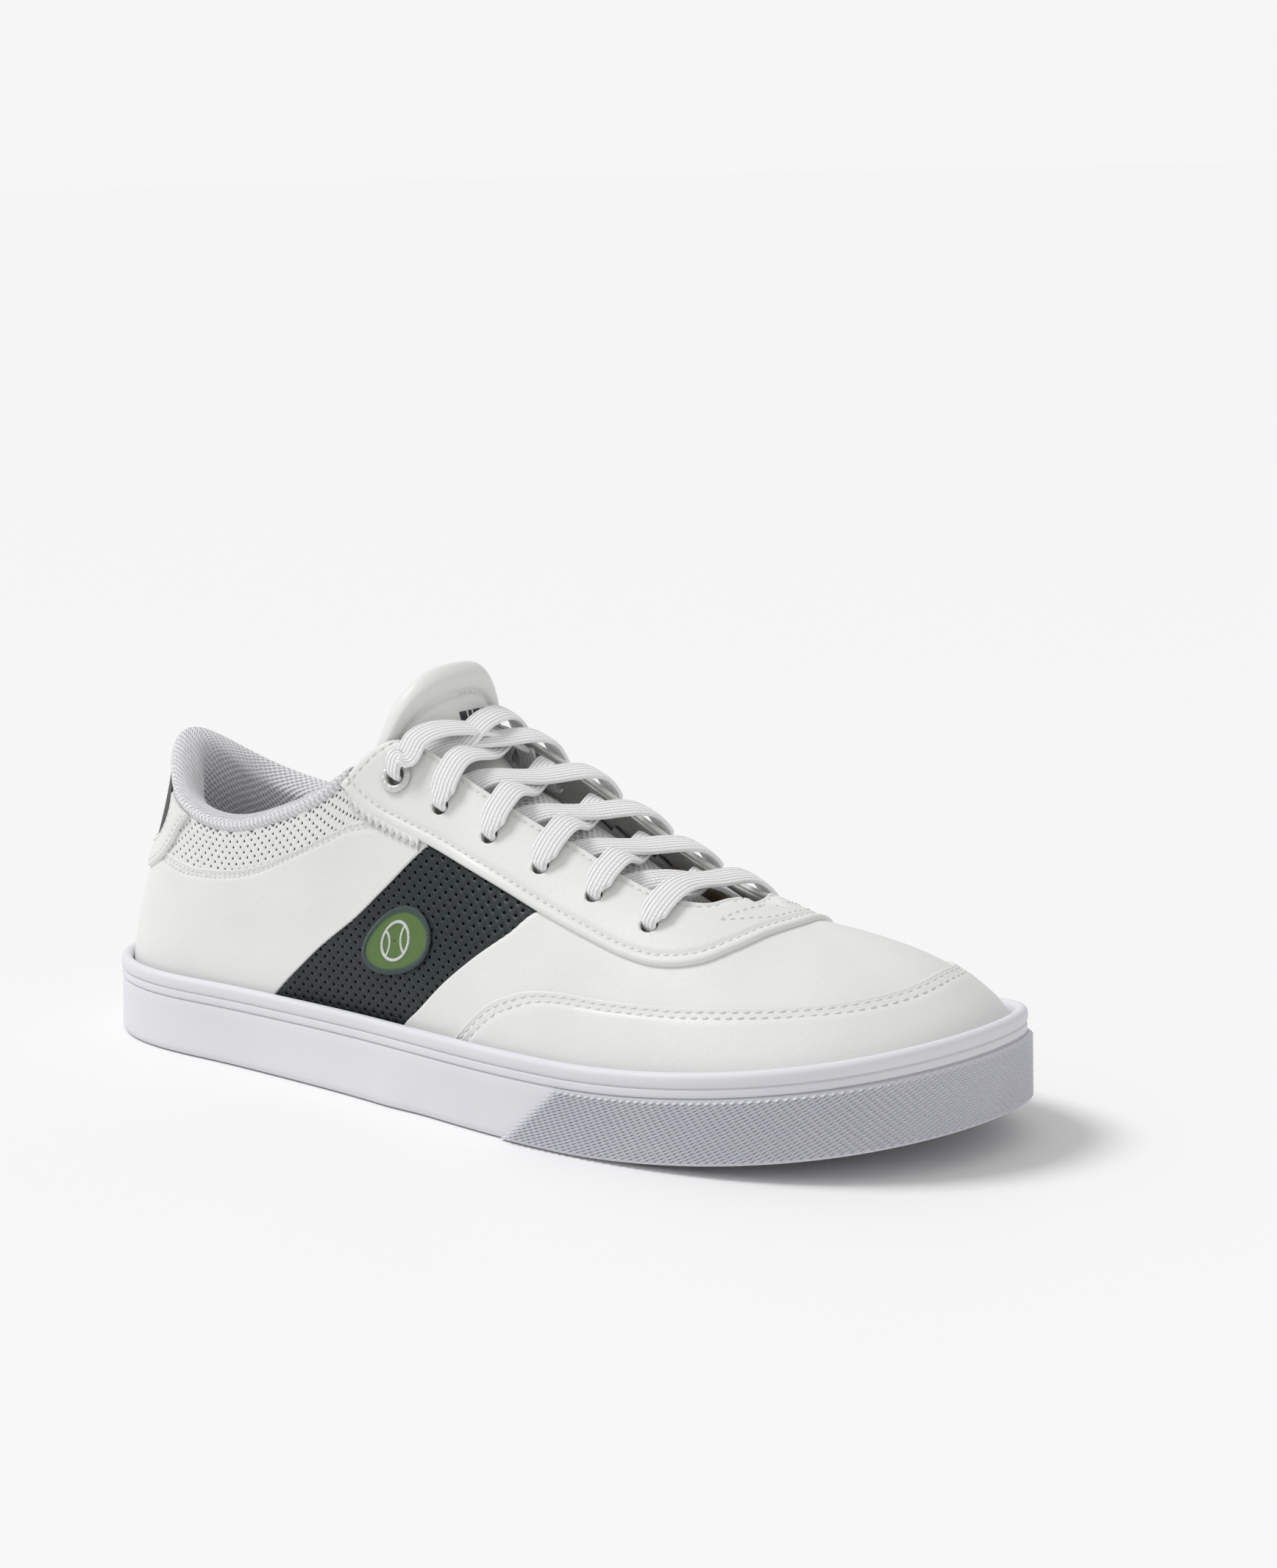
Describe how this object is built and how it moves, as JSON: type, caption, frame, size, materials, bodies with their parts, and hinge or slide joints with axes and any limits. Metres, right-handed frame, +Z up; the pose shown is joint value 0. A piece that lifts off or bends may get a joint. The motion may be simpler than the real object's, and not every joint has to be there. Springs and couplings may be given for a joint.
{
  "type": "court shoe",
  "caption": "Low lace-up court shoe for the right foot: leather upper with contrast side panel, padded collar and tongue, flat laces, rubber cup sole with a knurled toe bumper.",
  "frame": {"origin": "centre of the shoe's box, on the ground under the sole", "axes": "+X from heel to toe, +Y to the inner (medial) side, +Z up"},
  "size_m": [0.2978, 0.1122, 0.115],
  "materials": {
    "white_leather": "smooth coated leather, fine grain, satin",
    "green_leather": "dark green coated leather with punched dots, satin",
    "white_rubber": "smooth matt moulded rubber",
    "textured_rubber": "moulded rubber with a diamond knurl",
    "outsole_rubber": "matt rubber with a herringbone tread",
    "foam": "soft open foam",
    "insole_board": "fibre board, matt",
    "lining_cloth": "spacer knit, soft and matt",
    "sock_cloth": "brushed woven cloth",
    "mesh_cloth": "open airmesh knit",
    "stiffener": "non-woven stiffener, matt",
    "lace_cloth": "flat braid with lengthwise ribs",
    "painted_metal": "off-white enamelled metal, semi-gloss",
    "aglet_plastic": "glossy film",
    "embroidery": "satin stitched thread",
    "label_print": "matt transfer print"
  },
  "bodies": {
    "shoe": {"outsole": "outsole_rubber", "sidewall": "white_rubber", "foxing_strip": "white_rubber", "toe_bumper": "textured_rubber", "midsole_filler": "foam", "insole_board": "insole_board", "footbed_foam": "foam", "footbed_cover": "sock_cloth", "vamp": "white_leather", "mudguard": "white_leather", "quarter_lateral": "white_leather", "quarter_medial": "white_leather", "side_panel_lateral": "green_leather", "side_panel_medial": "green_leather", "eyestay": "white_leather", "eyestay_facing_lateral": "stiffener", "eyestay_facing_medial": "stiffener", "collar_panel_lateral": "white_leather", "collar_panel_medial": "white_leather", "heel_tab": "green_leather", "backstay": "white_leather", "collar_lining": "lining_cloth", "collar_foam": "foam", "heel_counter": "stiffener", "toe_puff": "stiffener", "quarter_lining": "lining_cloth", "vamp_lining": "lining_cloth", "lace": "lace_cloth", "lace_tail_lateral": "lace_cloth", "lace_tail_medial": "lace_cloth", "aglet_lateral": "aglet_plastic", "aglet_medial": "aglet_plastic", "eyelet_ring_lateral": "painted_metal", "eyelet_ring_medial": "painted_metal", "eyelet_washer_lateral": "painted_metal", "eyelet_washer_medial": "painted_metal", "side_patch": "embroidery"},
    "tongue": {"tongue_mesh": "mesh_cloth", "tongue_cover": "white_leather", "tongue_foam": "foam", "tongue_lining": "lining_cloth", "tongue_label": "label_print"}
  },
  "joints": [
    {"name": "tongue_fold", "type": "hinge", "parent": "shoe", "child": "tongue", "pos_m": [0.07845, 0.00268, 0.0475], "axis": [0, 1, 0], "range_deg": [-4, 0], "stiffness_Nm_per_rad": 0.5, "springref_deg": 6.88}
  ]
}
